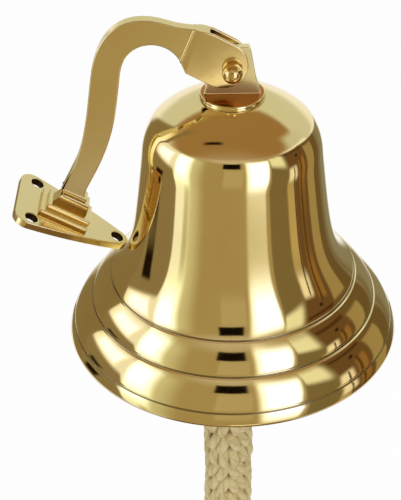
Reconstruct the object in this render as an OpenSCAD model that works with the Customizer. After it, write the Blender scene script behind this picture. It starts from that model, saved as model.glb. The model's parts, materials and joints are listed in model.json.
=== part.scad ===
// Brass ship's bell on a swan-neck wall bracket, with its clapper and braided lanyard.
// Origin: middle of the wall plate's back face. +Z is up, the bracket lies in the XZ plane.
// The bracket is folded down about the hinge pin, so that the plate's tip leans on the bell.

/* [Bell] */
// outer diameter of the mouth
mouth_d = 200; // [180:1:220]
// height from the lip to the seat on the crown
bell_h = 157; // [152:1:162]
// height of the plain band at the lip
lip_band_h = 8; // [6:0.5:10]
// how much narrower the band is at its top, on the radius
lip_taper = 2.7; // [1.5:0.1:4]
// height of each of the two raised rings above the band
ring_h = 16.5; // [14:0.5:18]
// how far each ring steps in, on the radius
ring_in = 12; // [11:0.25:13]
// how far each ring swells out past a straight cone
ring_swell = 0.9; // [0:0.1:1.5]
// depth of the turned grooves
groove_depth = 0.6; // [0.3:0.1:0.8]
// radius of the waist where the shoulder begins
waist_r = 51.6; // [49:0.2:54]
// how much the waist widens per millimetre down
waist_slope = 0.11; // [0.08:0.01:0.15]
// height over which the waist's flare fades out
flare = 14; // [12:0.5:17]
// radius of the shoulder's long arc
shoulder_r = 36; // [32:1:40]
// slope angle at which the shoulder's long arc ends
shoulder_turn = 32; // [28:1:36]
// radius of the tight arc between the shoulder and the crown
edge_r = 12; // [10:0.5:14]
// radius of the crown's dome
crown_r = 66; // [64:1:70]
// thickness of the waist and crown wall
wall = 3.6; // [3:0.1:4.5]
// thickness of the lip at the mouth, measured level
lip_t = 6.8; // [6:0.2:8]
// thickness of the crown where the hanger is clamped
seat_t = 4.2; // [3.6:0.2:5]

/* [Wall plate] */
// thickness of the wall plate
plate_t = 4.5; // [4:0.5:6]
// distance between the two upper screw holes
hole_w = 36.6; // [34:0.2:40]
// distance from the upper screw holes down to the lower one
hole_drop = 54; // [50:1:58]
// diameter of the screw holes
hole_d = 7.4; // [6:0.1:8]
// how much the front edge of each hole is broken
hole_edge = 0.6; // [0.3:0.1:0.8]
// radius round each upper hole at the plate's corners
corner_r = 8; // [7:0.5:9]
// radius of the plate's lower tip
tip_r = 7; // [6.5:0.5:8]
// how far the plate's long sides swell out
side_swell = 1.5; // [0:0.1:2]
// height of each of the two steps under the arm
step_h = 3.4; // [3:0.1:4]
// width of the lower step
step1_w = 24; // [22:0.5:26]
// width of the upper step
step2_w = 17.2; // [16:0.2:19]

/* [Arm] */
// distance from the wall to the hinge pin
reach = 136; // [134:0.5:138]
// distance from the plate's middle down to the hinge pin
drop = 40.6; // [39:0.2:42]
// thickness of the arm
arm_t = 7; // [6:0.5:8]
// thickness of the fork
fork_t = 10; // [9.6:0.2:12]
// width of the fork
fork_w = 28; // [27:0.5:29]
// distance from the hinge pin to the fork's round end
fork_end = 8; // [7.5:0.1:8.5]
// depth of the fork's slot above the hinge pin
slot_depth = 21; // [19:0.5:22]
// distance from the hinge pin up to the fork's shoulder
fork_top = 24.5; // [23.5:0.5:26]
// inner radius of the arm's crook
crook_r = 16.9; // [15.5:0.1:18]
// width of the arm over the crook
arm_w = 16.4; // [15:0.2:17.5]
// width of the arm above its foot
root_w = 13.2; // [12:0.2:14]
// height of the foot's lower block
foot1_h = 7.5; // [7:0.5:8]
// height of the foot's upper block
foot2_h = 3.2; // [3:0.1:4]
// diameter of the two screws that hold the arm
fix_d = 4; // [3.5:0.1:4.2]

/* [Hinge and hanger] */
// diameter of the hinge pin
pin_d = 6; // [5:0.5:6]
// radial clearance of the hanger on the pin
pin_clear = 0.05; // [0.02:0.01:0.09]
// diameter of the ball head and of the cap nut
ball_head_d = 11.4; // [10:0.2:12]
// thickness of the hanger's lug
lug_t = 5; // [4.6:0.1:5.4]
// gap on each side of the lug
lug_gap = 0.3; // [0.2:0.05:0.5]
// width of the lug at its top
lug_w = 19.6; // [18:0.2:21]
// width of the lug where it meets the flange
lug_foot_w = 31; // [29:0.5:32]
// height of the lug's top above the hinge pin
lug_top = 12.8; // [11:0.2:13.5]
// diameter of the hanger's round flange
flange_d = 36.8; // [35:0.2:38]
// thickness of the flange
flange_t = 3; // [2.5:0.1:3.5]
// height of the hinge pin above the flange
pin_rise = 15.5; // [15:0.1:16.5]
// diameter of the hanger's threaded shank
shank_d = 8; // [6:0.5:8]

/* [Clapper] */
// distance from the bell's seat down to the clapper's pivot
pivot_drop = 34.5; // [32:0.5:38]
// diameter of the eyes' round wire
eye_wire = 4; // [3.6:0.1:4.4]
// mid-wire radius of the eye that the clapper hangs on
eye_r = 7; // [6.6:0.2:7.6]
// gap left between the two linked eyes
link_gap = 0.7; // [0.6:0.1:0.9]
// diameter of the clapper's ball
ball_d = 30; // [28:1:32]
// height of the ball's centre above the lip
ball_h = 0.5; // [-3:0.5:3]
// diameter of the clapper's rod
rod_d = 6; // [5:0.5:7]
// length from the ball's centre to the lanyard's pivot
tail_l = 27.5; // [26:0.5:30]

/* [Lanyard] */
// diameter of the braided lanyard
lanyard_d = 31.6; // [28:0.2:33]
// length of the thin eye above the braid
lanyard_eye_l = 28; // [26:1:30]
// diameter of the end knot
knot_d = 42; // [38:1:46]
// length of the end knot
knot_l = 36; // [32:1:40]
// diameter of the cord that forms the eye
eye_cord = 4; // [3.6:0.1:4.4]

/* [Pose] */
// angle that the bracket is folded down from its place on a wall
fold = 61.4; // [60:0.1:62.5]
// gap between the plate's tip and the bell's waist
tip_gap = 0.3; // [0.2:0.05:0.6]

/* [Hidden] */
$fn = 72;

brass = [0.78, 0.62, 0.30];
steel = [0.62, 0.62, 0.60];
cotton = [0.85, 0.79, 0.63];

mouth_r = mouth_d / 2;
pin_h = bell_h + flange_t + pin_rise;              // pin above the lip
pivot_h = bell_h - pivot_drop;
clapper_l = pivot_h - ball_h;
seat_r = flange_d / 2 + 0.4;                       // flat turned on the crown
bore_r = shank_d / 2 + 0.2;

// ---- small helpers ----
function unit(v) = v / norm(v);
function dir(a) = [cos(a), sin(a)];
function arc(c, r, a0, a1, n) = [for (i = [0:n]) c + r * dir(a0 + (a1 - a0) * i / n)];
function swell(p, q, s, n) = [for (i = [1:n - 1]) let (t = i / n, d = q - p)
    p + d * t + unit([d[1], -d[0]]) * 4 * s * t * (1 - t)];
function bez(a, b, c, d, n) = [for (i = [0:n]) let (t = i / n, u = 1 - t)
    u * u * u * a + 3 * u * u * t * b + 3 * u * t * t * c + t * t * t * d];
function curve(a, aa, la, d, ad, ld, n) = bez(a, a + la * dir(aa), d - ld * dir(ad), d, n);

// ---- the bell's profile, [radius, height above the lip] ----
groove_1 = [mouth_r - lip_taper, lip_band_h];
groove_2 = groove_1 + [-ring_in, ring_h];
groove_3 = groove_2 + [-ring_in, ring_h];
waist_h = 125;                                     // height where waist_r is measured
function waist_line(h) = waist_r + waist_slope * (waist_h - h);
flare_w = groove_3[0] - waist_line(groove_3[1]);
function waist_at(h) = waist_line(h) + flare_w * exp(-(h - groove_3[1]) / flare);
function waist_tilt(h) = waist_slope + flare_w / flare * exp(-(h - groove_3[1]) / flare);

// the dome, the tight arc and the shoulder's long arc run on from each other, down to the
// waist's straight part: the angle where the dome ends is halved down until they meet it
dome_h = bell_h - sqrt(crown_r * crown_r - seat_r * seat_r);
lean_a = atan(waist_slope);
function edge_c(m) = [0, dome_h] + (crown_r - edge_r) * dir(m);
function long_c(m) = edge_c(m) + (edge_r - shoulder_r) * dir(shoulder_turn);
function miss(m) = let (p = long_c(m) + shoulder_r * dir(lean_a)) p[0] - waist_line(p[1]);
function meet(lo, hi, k) = let (m = (lo + hi) / 2)
    k == 0 ? m : miss(m) > 0 ? meet(m, hi, k - 1) : meet(lo, m, k - 1);
meet_a = meet(shoulder_turn, acos(seat_r / crown_r), 40);
edge_cen = edge_c(meet_a);
shoulder_c = long_c(meet_a);
join_h = shoulder_c[1] + shoulder_r * sin(lean_a);
function cut(a, g, b) = [g + unit(a - g) * 0.5, g - groove_depth * dir(36), g + unit(b - g) * 0.5];

bell_out = concat(
    arc([mouth_r - 1.2, 1.2], 1.2, -90, 0, 4),
    swell([mouth_r, 1.2], groove_1, 0.3, 3),
    cut([mouth_r, 1.2], groove_1, groove_2),
    swell(groove_1, groove_2, ring_swell, 8),
    cut(groove_1, groove_2, groove_3),
    swell(groove_2, groove_3, ring_swell, 8),
    cut(groove_2, groove_3, [waist_at(groove_3[1] + 1), groove_3[1] + 1]),
    [for (i = [1:18]) let (h = groove_3[1] + (join_h - groove_3[1]) * pow(i / 18, 1.5))
        [waist_at(h), h]],
    arc(shoulder_c, shoulder_r, lean_a, shoulder_turn, 6),
    [for (i = [1:6]) edge_cen + edge_r * dir(shoulder_turn + (meet_a - shoulder_turn) * i / 6)],
    [for (i = [1:8]) let (a = meet_a + (acos(seat_r / crown_r) - meet_a) * i / 8)
        [0, dome_h] + crown_r * dir(a)]);
in_seat = bell_h - seat_t;
in_flat = sqrt(pow(crown_r - wall, 2) - pow(in_seat - dome_h, 2));
bell_in = concat(
    [for (i = [0:6]) let (a0 = acos(in_flat / (crown_r - wall)), a = a0 + (meet_a - a0) * i / 6)
        [0, dome_h] + (crown_r - wall) * dir(a)],
    [for (i = [1:4]) let (a = meet_a + (shoulder_turn - meet_a) * i / 4)
        edge_cen + (edge_r - wall) * dir(a)],
    [for (i = [1:4]) let (a = shoulder_turn + (lean_a - shoulder_turn) * i / 4)
        shoulder_c + (shoulder_r - wall) * dir(a)],
    [for (i = [1:9]) let (h = join_h - 4 + (groove_3[1] + 10 - join_h + 4) * i / 9)
        [waist_at(h) - wall * sqrt(1 + pow(waist_tilt(h), 2)), h]],
    [groove_3 - [wall * 1.36, 0], groove_2 - [(lip_t + wall * 1.36) / 2 + 0.4, 0],
     groove_1 - [lip_t + 0.4, 0], [mouth_r - lip_t, 0.6], [mouth_r - lip_t + 0.6, 0]]);
// the part of the profile that the tip can meet, as a radius at a height
function wall_r(h) = waist_at(h);

// ---- places in the stored pose ----
function folded(p) = [p[0] * cos(fold) + p[1] * sin(fold), p[0] * sin(fold) - p[1] * cos(fold)];
// mounted [out from wall, down] to stored [x, z]
pin_xz = folded([reach, drop]);
hole_top = hole_drop / 3;                          // upper holes above the plate's middle
hole_low = hole_top - hole_drop;
tip_z = hole_low - tip_r;
// the plate's tip, front and back edge, seen from the pin
tips = [for (d = [0, plate_t]) folded([d, -tip_z]) - pin_xz];
// lean of the bell that leaves the gap at a tip point q
function lean_step(q, a) = let (hh = pin_h + q[1] * cos(a) - q[0] * sin(a))
    asin((q[0] + (tip_gap * sqrt(1 + pow(waist_tilt(hh), 2)) + wall_r(hh)) * cos(a)) / -q[1]);
function lean_for(q, a, k) = k == 0 ? a : lean_for(q, lean_step(q, a), k - 1);
lean = max([for (q = tips) lean_for(q, 0, 12)]);

function hung(h) = pin_xz + (pin_h - h) * [sin(lean), -cos(lean)];
pivot_xz = hung(pivot_h);                          // clapper's pivot
ball_xz = pivot_xz - [0, clapper_l];
rope_xz = ball_xz - [0, tail_l];                   // lanyard's pivot

// puts a piece drawn as mounted on a wall into the stored pose
module as_folded() rotate([0, -fold, 0]) children();
// puts a piece drawn plumb about the pin, height 0 at the lip, into the stored pose
module as_hung() translate([pin_xz[0], 0, pin_xz[1]]) rotate([0, -lean, 0])
    translate([0, 0, -pin_h]) children();
// stands an [x, z] outline up, t thick about the XZ plane
module upright(t) rotate([90, 0, 0]) translate([0, 0, -t / 2]) linear_extrude(t) children();
// a ring of round wire about the Y axis, its centre at height z, and the hole through it
module ring_at(z, r, w) translate([0, 0, z]) rotate([90, 0, 0])
    rotate_extrude($fn = 48) translate([r, 0]) circle(d = w, $fn = 32);
module hole_at(z, r) translate([0, 0, z]) rotate([90, 0, 0])
    translate([0, 0, -8]) cylinder(r = r, h = 16);

// ---- wall plate ----
function side_pts(s) = let (
    c0 = [s * (hole_w / 2 - 1.3), hole_top + 2.4], c1 = [0, hole_low],
    d = c1 - c0, l = norm(d), a = atan2(d[1], d[0]) + s * acos((corner_r - tip_r) / l))
    [c0 + corner_r * dir(a), c1 + tip_r * dir(a), a];
plate_outline = let (r = side_pts(1), l = side_pts(-1),
    cr = [hole_w / 2 - 1.3, hole_top + 2.4], cl = [-hole_w / 2 + 1.3, hole_top + 2.4])
    concat(
        arc(cr, corner_r, r[2], 86, 10),
        arc(cl, corner_r, 94, l[2] + 360, 10),
        swell(l[0], l[1], side_swell, 8),
        arc([0, hole_low], tip_r, l[2], r[2], 10),
        swell(r[1], r[0], side_swell, 8));
step_top = hole_top - 3.5;                         // upper end of the lower step
step_bot = -15.6;
step2_top = step_top - 3;
fix_z = [4.4, -7.6];                               // the two screws behind the arm
seat_x = plate_t + 2 * step_h;                     // the arm stands here
fix_in = 5;                                        // how far the screws go into the foot

module wall_plate() color(brass) as_folded() difference() {
    union() {
        rotate([90, 0, 90]) linear_extrude(plate_t) polygon(plate_outline);
        translate([plate_t / 2, -step1_w / 2, step_bot])
            cube([plate_t / 2 + step_h, step1_w, step_top - step_bot]);
        translate([plate_t / 2, -step2_w / 2, step_bot])
            cube([plate_t / 2 + 2 * step_h, step2_w, step2_top - step_bot]);
    }
    for (p = [[hole_w / 2, hole_top], [-hole_w / 2, hole_top], [0, hole_low]])
        translate([0, p[0], p[1]]) rotate([0, 90, 0]) {
            translate([0, 0, -1]) cylinder(d = hole_d, h = plate_t + 2);
            translate([0, 0, plate_t - hole_edge])
                cylinder(d1 = hole_d, d2 = hole_d + 4 * hole_edge, h = 2 * hole_edge);
        }
    for (z = fix_z) translate([0, 0, z]) rotate([0, 90, 0]) {
        translate([0, 0, -1]) cylinder(d = fix_d, h = seat_x + 2);
        translate([0, 0, -1]) cylinder(d = fix_d * 1.9, h = 1.4);
        translate([0, 0, 0.4]) cylinder(d1 = fix_d * 1.9, d2 = fix_d, h = fix_d * 0.45);
    }
}

// ---- arm and fork, [out from wall, up] ----
arm_foot_x = seat_x + foot1_h + foot2_h;
shoulder_z = fork_top - drop;                      // fork's upper edge above the hinge pin
shoulder_l = 4.4;                                  // slope from the fork down to the arm
shoulder_tilt = 8.5;
fork_l = reach - fork_w / 2;
fork_r = reach + fork_w / 2;
crook_a = 38;                                      // how far the crook's arc passes its middle
crook_in = [fork_l + 4, shoulder_z + 2.7];         // where it meets the fork
crook_c = crook_in + crook_r * [-cos(crook_a), sin(crook_a)];
crook_top = crook_c[1] + crook_r;
rise_out = [0.69 * reach, crook_top + arm_w - 5];  // on the arm's upper edge, short of the crook
rise_in = [0.706 * reach, crook_top - 5];          // on its lower edge
root_hi = 8.6;
root_lo = root_hi - root_w;
arm_out = concat(
    [[arm_foot_x - 1, root_hi - 0.8]],
    curve([arm_foot_x + 16, root_hi], 3, 16, rise_out, 21, 20, 10),
    curve(rise_out, 21, 26, [fork_r - 7.2, crook_c[1] + 5], -81, 28, 14),
    curve([fork_r - 7.2, crook_c[1] + 5], -81, 5, [fork_r - 3, shoulder_z + 5], -70, 4, 4),
    [[fork_r - 5, shoulder_z - 2]]);
arm_in = concat(
    [[fork_l + 6, shoulder_z - 2]],
    arc(crook_c, crook_r, -crook_a, 90, 16),
    curve([crook_c[0], crook_top], 180, 5.5, rise_in, 201, 5, 4),
    curve(rise_in, 201, 20, [arm_foot_x + 12, root_lo], 181, 30, 10),
    curve([arm_foot_x + 12, root_lo], 181, 5, [arm_foot_x - 1, root_lo - 2.2], 215, 4, 5));
fork_mid = -drop - fork_end + fork_w / 2;          // centre of the fork's round end
fork_outline = concat(
    [[fork_l, shoulder_z - 2.7]],
    arc([reach, fork_mid], fork_w / 2, 180, 360, 24),
    [[fork_r, shoulder_z - 5.4], [fork_r - 1, shoulder_z - 0.4],
     [fork_r - 3, shoulder_z + 5.3], [fork_l + 4, shoulder_z + 2.7]]);
foot1_outline = [[seat_x, 9.3], [seat_x + foot1_h, 5.6],
                 [seat_x + foot1_h, -11], [seat_x, -12.3]];

module bracket_arm() color(brass) as_folded() difference() {
    union() {
        upright(arm_t) polygon(concat(arm_out, arm_in));
        // the fork, sloped down to the arm's thickness along its upper edge
        intersection() {
            upright(fork_t) polygon(fork_outline);
            translate([reach, 0, shoulder_z]) rotate([0, -shoulder_tilt, 0]) rotate([90, 0, 90])
                translate([0, 0, -fork_w]) linear_extrude(2 * fork_w)
                    polygon([[-fork_t / 2 - 1, -50], [fork_t / 2 + 1, -50], [fork_t / 2 + 1, 0],
                             [fork_t / 2, 0], [arm_t / 2, shoulder_l], [-arm_t / 2, shoulder_l],
                             [-fork_t / 2, 0], [-fork_t / 2 - 1, 0]]);
        }
        upright(fork_t) polygon(foot1_outline);
        translate([seat_x + foot1_h - 1, -fork_t / 2 + 0.8, -8.2]) cube([foot2_h + 1, fork_t - 1.6, 15.6]);
    }
    // the fork's slot, open at its lower end
    translate([reach - fork_w, -lug_t / 2 - lug_gap, -drop - 30])
        cube([2 * fork_w, lug_t + 2 * lug_gap, slot_depth + 30]);
    translate([reach, 0, -drop]) rotate([90, 0, 0]) translate([0, 0, -fork_t])
        cylinder(d = pin_d, h = 2 * fork_t);
    for (z = fix_z) translate([seat_x - 1, 0, z]) rotate([0, 90, 0]) cylinder(d = fix_d, h = fix_in + 1);
}

module arm_screws() color(steel) as_folded() for (z = fix_z)
    translate([0.1, 0, z]) rotate([0, 90, 0]) {
        cylinder(d = fix_d * 1.9 - 0.1, h = 0.3);
        translate([0, 0, 0.3]) cylinder(d1 = fix_d * 1.9 - 0.1, d2 = fix_d, h = fix_d * 0.45);
        translate([0, 0, 0.4]) cylinder(d = fix_d, h = seat_x + fix_in - 1);
    }

// ---- hinge pin: a ball head in front, a cap nut behind ----
module hinge_pin() color(brass) translate([pin_xz[0], 0, pin_xz[1]]) rotate([90, 0, 0]) {
    translate([0, 0, -fork_t / 2 - 4]) cylinder(d = pin_d, h = fork_t + 5);
    rotate_extrude() intersection() {
        translate([0, fork_t / 2 + ball_head_d * 0.3]) circle(d = ball_head_d);
        translate([0, fork_t / 2]) square([ball_head_d, ball_head_d]);
    }
}
module pin_nut() color(brass) translate([pin_xz[0], 0, pin_xz[1]]) rotate([-90, 0, 0])
    translate([0, 0, fork_t / 2]) difference() {
        rotate_extrude() intersection() {
            translate([0, ball_head_d * 0.3]) circle(d = ball_head_d);
            square([ball_head_d, ball_head_d]);
        }
        translate([0, 0, -1]) cylinder(d = pin_d, h = 5);
    }

// ---- hanger: lug, round flange and threaded shank ----
lug_z = bell_h + flange_t;
lug_side = concat(
    curve([lug_foot_w / 2, lug_z - 0.5], 96, 6, [lug_foot_w / 2 - 2.6, lug_z + 10], 100, 3, 6),
    [[lug_w / 2 + 0.2, pin_h + lug_top - 1], [lug_w / 2 - 0.8, pin_h + lug_top]]);
lug_outline = concat(lug_side, [for (i = [len(lug_side) - 1:-1:0]) [-lug_side[i][0], lug_side[i][1]]]);
shank_end = pivot_h + 2 * eye_r - 0.3;
module hanger() color(brass) as_hung() {
    difference() {
        union() {
            upright(lug_t) polygon(lug_outline);
            translate([0, 0, bell_h]) rotate_extrude() polygon([[0, 0], [flange_d / 2 - 0.3, 0],
                [flange_d / 2, 0.3], [flange_d / 2, flange_t - 0.6], [flange_d / 2 - 0.6, flange_t],
                [0, flange_t]]);
        }
        translate([0, 0, pin_h]) rotate([90, 0, 0]) translate([0, 0, -lug_t])
            cylinder(r = pin_d / 2 + pin_clear, h = 2 * lug_t);
    }
    translate([0, 0, shank_end]) cylinder(d = shank_d, h = bell_h - shank_end + 1);
}

module bell_shell() color(brass) as_hung() rotate_extrude($fn = 96)
    polygon(concat(bell_out, [[seat_r - 0.2, bell_h], [bore_r, bell_h], [bore_r, in_seat]], bell_in));

washer_t = 1.6;
nut_h = 6.5;
nut_af = shank_d * 1.625;
module crown_washer() color(brass) as_hung() translate([0, 0, in_seat - washer_t]) difference() {
    cylinder(d = shank_d * 2.6, h = washer_t);
    translate([0, 0, -1]) cylinder(r = bore_r, h = washer_t + 2);
}
module crown_nut() color(brass) as_hung() translate([0, 0, in_seat - washer_t - nut_h]) difference() {
    cylinder(d = nut_af / cos(30), h = nut_h, $fn = 6);
    translate([0, 0, -1]) cylinder(d = shank_d, h = nut_h + 2);
}

// ---- eye nut on the shank's end, its ring across the bell's swing ----
eye_boss_z = pivot_h + 2 * eye_r;
module clapper_eye() color(brass) as_hung() {
    difference() {
        translate([0, 0, eye_boss_z - 1.4]) cylinder(d = shank_d + 5,
            h = in_seat - washer_t - nut_h - eye_boss_z + 1.4);
        translate([0, 0, eye_boss_z - 0.4]) cylinder(d = shank_d, h = 20);
    }
    difference() {
        rotate([0, 0, 90]) ring_at(pivot_h + eye_r, eye_r, eye_wire);
        translate([0, 0, eye_boss_z - 0.4]) cylinder(d = shank_d, h = 20);
    }
}

// ---- clapper: a rod with an eye at each end, and its ball ----
hook_r = 6.4;                                      // upper eye, along the swing
hook_z = pivot_xz[1] - hook_r + eye_wire + link_gap;
tail_r = 6;                                        // lower eye, across the swing
tail_wire = 3.6;
tail_z = rope_xz[1] + tail_r;
module clapper_rod() color(brass) translate([ball_xz[0], 0, 0]) {
    ring_at(hook_z, hook_r, eye_wire);
    rotate([0, 0, 90]) ring_at(tail_z, tail_r, tail_wire);
    difference() {
        translate([0, 0, tail_z + tail_r - 0.8])
            cylinder(d = rod_d, h = hook_z - hook_r + 0.8 - tail_z - tail_r + 0.8);
        hole_at(hook_z, hook_r - eye_wire / 2);
        rotate([0, 0, 90]) hole_at(tail_z, tail_r - tail_wire / 2);
    }
}
module clapper_ball() color(brass) translate([ball_xz[0], 0, ball_xz[1]]) difference() {
    sphere(d = ball_d);
    translate([0, 0, -ball_d]) cylinder(d = rod_d, h = 2 * ball_d);
}

// ---- lanyard: two legs of cord through the tail eye, whipped, then the braid ----
loop_r = tail_wire / 2 + link_gap + eye_cord / 2;  // mid-cord radius of the loop's bend
braid_top = rope_xz[1] - lanyard_eye_l;
whip_l = 9;
module lanyard_loop() color(cotton) translate([rope_xz[0], 0, 0]) {
    translate([0, 0, rope_xz[1]]) rotate([90, 0, 0])
        rotate_extrude(angle = 180, $fn = 48) translate([loop_r, 0]) circle(d = eye_cord, $fn = 24);
    for (s = [-1, 1]) translate([s * loop_r, 0, braid_top + whip_l])
        cylinder(d = eye_cord, h = rope_xz[1] - braid_top - whip_l, $fn = 24);
}
module lanyard_whipping() color(cotton) translate([rope_xz[0], 0, braid_top])
    rotate_extrude($fn = 48) polygon([[0, 0], [7.4, 0], [7.4, whip_l - 1], [6.6, whip_l], [0, whip_l]]);

// the braid hangs plumb: route from its top, then a ring of points round each stop
braid_route = [[0, 0, 0], [0, 0, -60], [0, 0, -120], [0, 0, -170]];
braid_l = -braid_route[3][2];
braid_sides = 12;
function ring_pts(c, r, n) = [for (i = [0:n - 1]) c + r * [cos(i * 360 / n), sin(i * 360 / n), 0]];
function tube_faces(k, n) = concat(
    [[for (i = [0:n - 1]) i]],
    [for (j = [0:k - 2], i = [0:n - 1]) let (m = (i + 1) % n)
        [j * n + m, j * n + i, (j + 1) * n + i, (j + 1) * n + m]],
    [[for (i = [n - 1:-1:0]) (k - 1) * n + i]]);
module lanyard_braid() color(cotton) translate([rope_xz[0], 0, braid_top])
    polyhedron([for (c = braid_route) each ring_pts(c, lanyard_d / 2, braid_sides)],
               tube_faces(len(braid_route), braid_sides));

module lanyard_knot() color(cotton) translate([rope_xz[0], 0, braid_top - braid_l])
    rotate_extrude($fn = 48) polygon(concat([[0, 0], [knot_d * 0.34, 0]],
        [for (a = [50:-10:-60]) [knot_d / 2 * (0.35 + 0.65 * cos(a)), knot_l / 2 * (sin(a) - 1)]],
        [[knot_d * 0.2, -knot_l], [0, -knot_l]]));

wall_plate();
bracket_arm();
arm_screws();
hinge_pin();
pin_nut();
hanger();
bell_shell();
crown_washer();
crown_nut();
clapper_eye();
clapper_rod();
clapper_ball();
lanyard_loop();
lanyard_whipping();
lanyard_braid();
lanyard_knot();
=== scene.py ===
# %% [markdown]
# # A ship's bell on its swan-neck bracket
#
# The real thing is a cast brass bell, turned on a lathe and buffed to a mirror, that hangs from a
# cast wall bracket by one hinge pin. A brass clapper hangs inside it, and a braided cotton lanyard
# hangs from the clapper. Here the bracket is folded down against the bell, as it is for storage.
#
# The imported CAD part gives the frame: where each piece is, and which body it moves with.

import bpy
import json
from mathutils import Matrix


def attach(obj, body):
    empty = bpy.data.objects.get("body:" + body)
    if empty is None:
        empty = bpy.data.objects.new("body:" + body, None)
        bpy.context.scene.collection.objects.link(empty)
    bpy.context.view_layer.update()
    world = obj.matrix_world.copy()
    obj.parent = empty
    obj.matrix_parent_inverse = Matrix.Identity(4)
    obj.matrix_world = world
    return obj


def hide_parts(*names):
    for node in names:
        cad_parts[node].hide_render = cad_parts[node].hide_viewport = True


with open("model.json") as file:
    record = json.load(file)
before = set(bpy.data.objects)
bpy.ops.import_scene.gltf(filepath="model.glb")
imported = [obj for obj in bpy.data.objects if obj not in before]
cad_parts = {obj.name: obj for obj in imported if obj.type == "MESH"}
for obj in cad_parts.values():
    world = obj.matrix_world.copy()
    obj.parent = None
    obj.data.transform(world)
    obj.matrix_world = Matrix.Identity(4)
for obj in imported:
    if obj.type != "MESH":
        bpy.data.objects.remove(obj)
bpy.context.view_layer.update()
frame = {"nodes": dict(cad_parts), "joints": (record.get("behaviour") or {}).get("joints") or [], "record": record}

import json
import math

import bmesh
import bpy
import numpy as np
from mathutils import Vector

MM = 0.001

# %% [markdown]
# ## Camera
#
# The bell is seen from a little above, at about 35 degrees, with its bracket to the left. A long
# lens keeps the mouth's ellipse and the waist in their true proportions. The camera is made first,
# because the cord rules look at what it sees.

# %% Camera
CAMERA_AT, CAMERA_TOWARDS = (0.0833, -0.6855, 0.4614), (0.0833, 0.131, -0.116)


def look(obj, place, towards):
    """Puts an object at a place and turns its -Z axis towards a point."""
    obj.location = place
    obj.rotation_euler = (Vector(towards) - Vector(place)).to_track_quat("-Z", "Y").to_euler()


eye = bpy.data.cameras.new("studio_camera")
eye.lens, eye.sensor_width = 100.8, 36.0
camera = bpy.data.objects.new("studio_camera", eye)
bpy.context.scene.collection.objects.link(camera)
look(camera, CAMERA_AT, CAMERA_TOWARDS)
bpy.context.scene.camera = camera
bpy.context.scene.view_settings.view_transform = "Standard"
print("camera lens in mm:", round(eye.lens, 1), "at:", CAMERA_AT)

# %% [markdown]
# ## Colours and nodes
#
# Paint, metal and cotton are matched as sRGB hex values, and Blender's nodes want linear light, so
# one function turns the one into the other. One more function adds a node to a material with its
# settings and its links, which keeps every material short enough to read.

# %% Colour and node helpers
def linear(code):
    """sRGB hex to linear RGBA: c / 12.92 below 0.04045, else ((c + 0.055) / 1.055) ** 2.4."""
    s = np.array([int(code[i : i + 2], 16) for i in (1, 3, 5)]) / 255
    rgb = np.where(s <= 0.04045, s / 12.92, ((s + 0.055) / 1.055) ** 2.4)
    return (*rgb.tolist(), 1.0)


def add(tree, kind, values=None, links=None, **settings):
    """Adds one node: settings are its properties, values its sockets, links what feeds them."""
    node = tree.nodes.new(kind)
    for key, value in settings.items():
        setattr(node, key, value)
    for socket, value in (values or {}).items():
        node.inputs[socket].default_value = value
    for socket, source in (links or {}).items():
        tree.links.new(source, node.inputs[socket])
    return node


def new_material(name):
    """An empty material: the material, its node tree and its output node."""
    material = bpy.data.materials.new(name)
    material.use_nodes = True
    material.node_tree.nodes.clear()
    return material, material.node_tree, material.node_tree.nodes.new("ShaderNodeOutputMaterial")


WHITE = (1.0, 1.0, 1.0, 1.0)
print("mid grey #808080 in linear light:", linear("#808080"))

# %% [markdown]
# ## World and floor
#
# Polished brass shows the room it stands in, so the room is half of its look. It starts as a plain
# white studio. The world is full white for the camera and for anything that mirrors it, and half
# as strong where it lights, because the lamps do the rest. The floor is pale paper that glows
# white in the same way and keeps 3% of matt paper, which is what catches the shadow. A backdrop
# lit to white by lamps would do as well, but its light would fall on the bell too.

# %% World
world = bpy.data.worlds.new("white_studio")
world.use_nodes = True
bpy.context.scene.world = world
tree = world.node_tree
tree.nodes.clear()
path = add(tree, "ShaderNodeLightPath")
mirror = add(tree, "ShaderNodeMath", operation="MAXIMUM",
             links={0: path.outputs["Is Glossy Ray"], 1: path.outputs["Is Transmission Ray"]})
level = add(tree, "ShaderNodeMapRange", {"To Min": 0.5, "To Max": 1.0},
            {"Value": mirror.outputs[0]})
level = add(tree, "ShaderNodeMath", operation="MAXIMUM",
            links={0: level.outputs[0], 1: path.outputs["Is Camera Ray"]})
sky = add(tree, "ShaderNodeBackground", {"Color": WHITE}, {"Strength": level.outputs[0]})
add(tree, "ShaderNodeOutputWorld", links={"Surface": sky.outputs[0]})
print("world:", world.name)

# %% Floor
FLOOR_Z, FLOOR_HALF = -0.5, 6.0
floor_paper, tree, output = new_material("pale_floor_paper")
path = add(tree, "ShaderNodeLightPath")
seen = add(tree, "ShaderNodeMath", operation="ADD", use_clamp=True,
           links={0: path.outputs["Is Camera Ray"], 1: path.outputs["Is Glossy Ray"]})
seen = add(tree, "ShaderNodeMath", operation="ADD", use_clamp=True,
           links={0: seen.outputs[0], 1: path.outputs["Is Transmission Ray"]})
share = add(tree, "ShaderNodeMath", {1: 0.97}, {0: seen.outputs[0]}, operation="MULTIPLY")
matt = add(tree, "ShaderNodeBsdfDiffuse", {"Color": linear("#F3F2EE")})
glow = add(tree, "ShaderNodeEmission", {"Color": WHITE, "Strength": 1.0})
mix = add(tree, "ShaderNodeMixShader",
          links={0: share.outputs[0], 1: matt.outputs[0], 2: glow.outputs[0]})
tree.links.new(mix.outputs[0], output.inputs["Surface"])

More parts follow.
